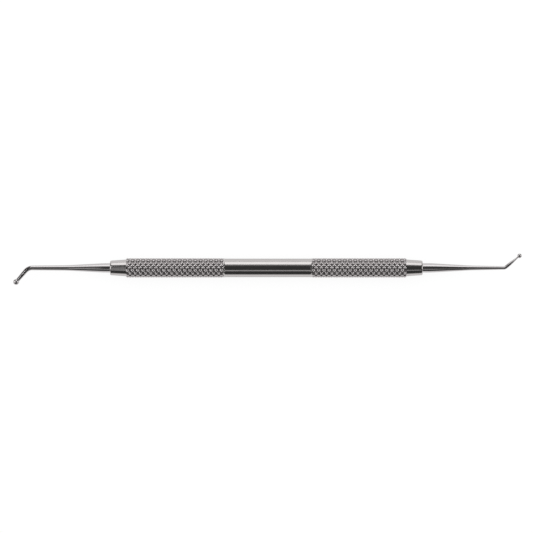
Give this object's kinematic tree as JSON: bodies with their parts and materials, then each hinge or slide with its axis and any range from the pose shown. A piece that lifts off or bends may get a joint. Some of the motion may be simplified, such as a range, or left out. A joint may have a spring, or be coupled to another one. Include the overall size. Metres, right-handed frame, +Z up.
{
  "type": "dental burnisher",
  "caption": "Double-ended steel hand instrument with a diamond-knurled round handle, tapered bent shanks and a polished ball at each tip.",
  "frame": {"origin": "the middle of the handle, on its axis", "axes": "+X along the handle towards the small ball end, +Y the way the small end bends (the large end bends to -Y), +Z up from the surface it lies on"},
  "size_m": [0.1648, 0.0103, 0.0064],
  "materials": {
    "handle": "stainless steel, satin-bright turned cones and plain middle, bright rolled diamond knurl",
    "large_ball_end": "stainless steel, ground and mirror polished along the shank, ball burnished bright",
    "small_ball_end": "stainless steel, ground and mirror polished along the shank, ball burnished bright"
  },
  "bodies": {
    "root": {"handle": "handle", "large_ball_end": "large_ball_end", "small_ball_end": "small_ball_end"}
  },
  "joints": []
}
